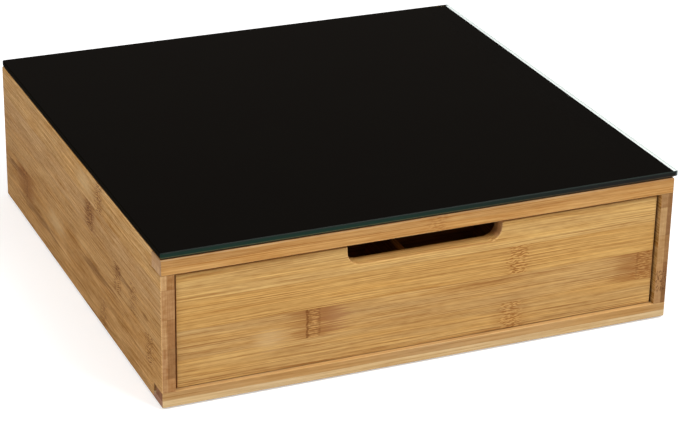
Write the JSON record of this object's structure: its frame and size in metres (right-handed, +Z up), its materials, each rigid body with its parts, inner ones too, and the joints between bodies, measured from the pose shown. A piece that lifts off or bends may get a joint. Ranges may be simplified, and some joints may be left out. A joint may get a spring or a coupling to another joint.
{
  "type": "coffee capsule drawer",
  "caption": "Flat bamboo case with a black glass top and a sliding drawer divided into cells for coffee capsules.",
  "frame": {"origin": "under the middle of the wooden case, on the plane that its foot pads stand on", "axes": "+Z up, +Y from the drawer front to the back, +X to the right seen from the front; the drawer opens along -Y"},
  "size_m": [0.3126, 0.31, 0.0931],
  "materials": {
    "bamboo_case": "satin oiled bamboo, long grain, end grain at the rail ends",
    "bamboo_front": "satin oiled bamboo with knuckle marks",
    "bamboo_drawer": "sanded bamboo",
    "bamboo_divider": "sanded bamboo slat",
    "bamboo_panel": "thin bamboo board",
    "glass": "polished, slightly green at the edges",
    "black_coating": "black enamel under the glass",
    "bond": "soft adhesive pad",
    "pad_rubber": "matt"
  },
  "bodies": {
    "case": {"case_side_left": "bamboo_case", "case_side_right": "bamboo_case", "case_rail_top": "bamboo_case", "case_rail_bottom": "bamboo_case", "case_back": "bamboo_case", "case_lid_panel": "bamboo_panel", "case_floor_panel": "bamboo_panel", "foot_pads": "pad_rubber", "glass_bond_pads": "bond", "glass_backing": "black_coating", "glass_top": "glass"},
    "drawer": {"drawer_front": "bamboo_front", "drawer_wall_left": "bamboo_drawer", "drawer_wall_right": "bamboo_drawer", "drawer_wall_back": "bamboo_drawer", "drawer_bottom": "bamboo_panel", "lane_divider_1": "bamboo_divider", "lane_divider_2": "bamboo_divider", "lane_divider_3": "bamboo_divider", "cross_divider_1": "bamboo_divider", "cross_divider_2": "bamboo_divider", "cross_divider_3": "bamboo_divider"}
  },
  "joints": [
    {"name": "drawer_slide", "type": "slide", "parent": "case", "child": "drawer", "axis": [0, -1, 0], "range_m": [0, 0.25]}
  ]
}
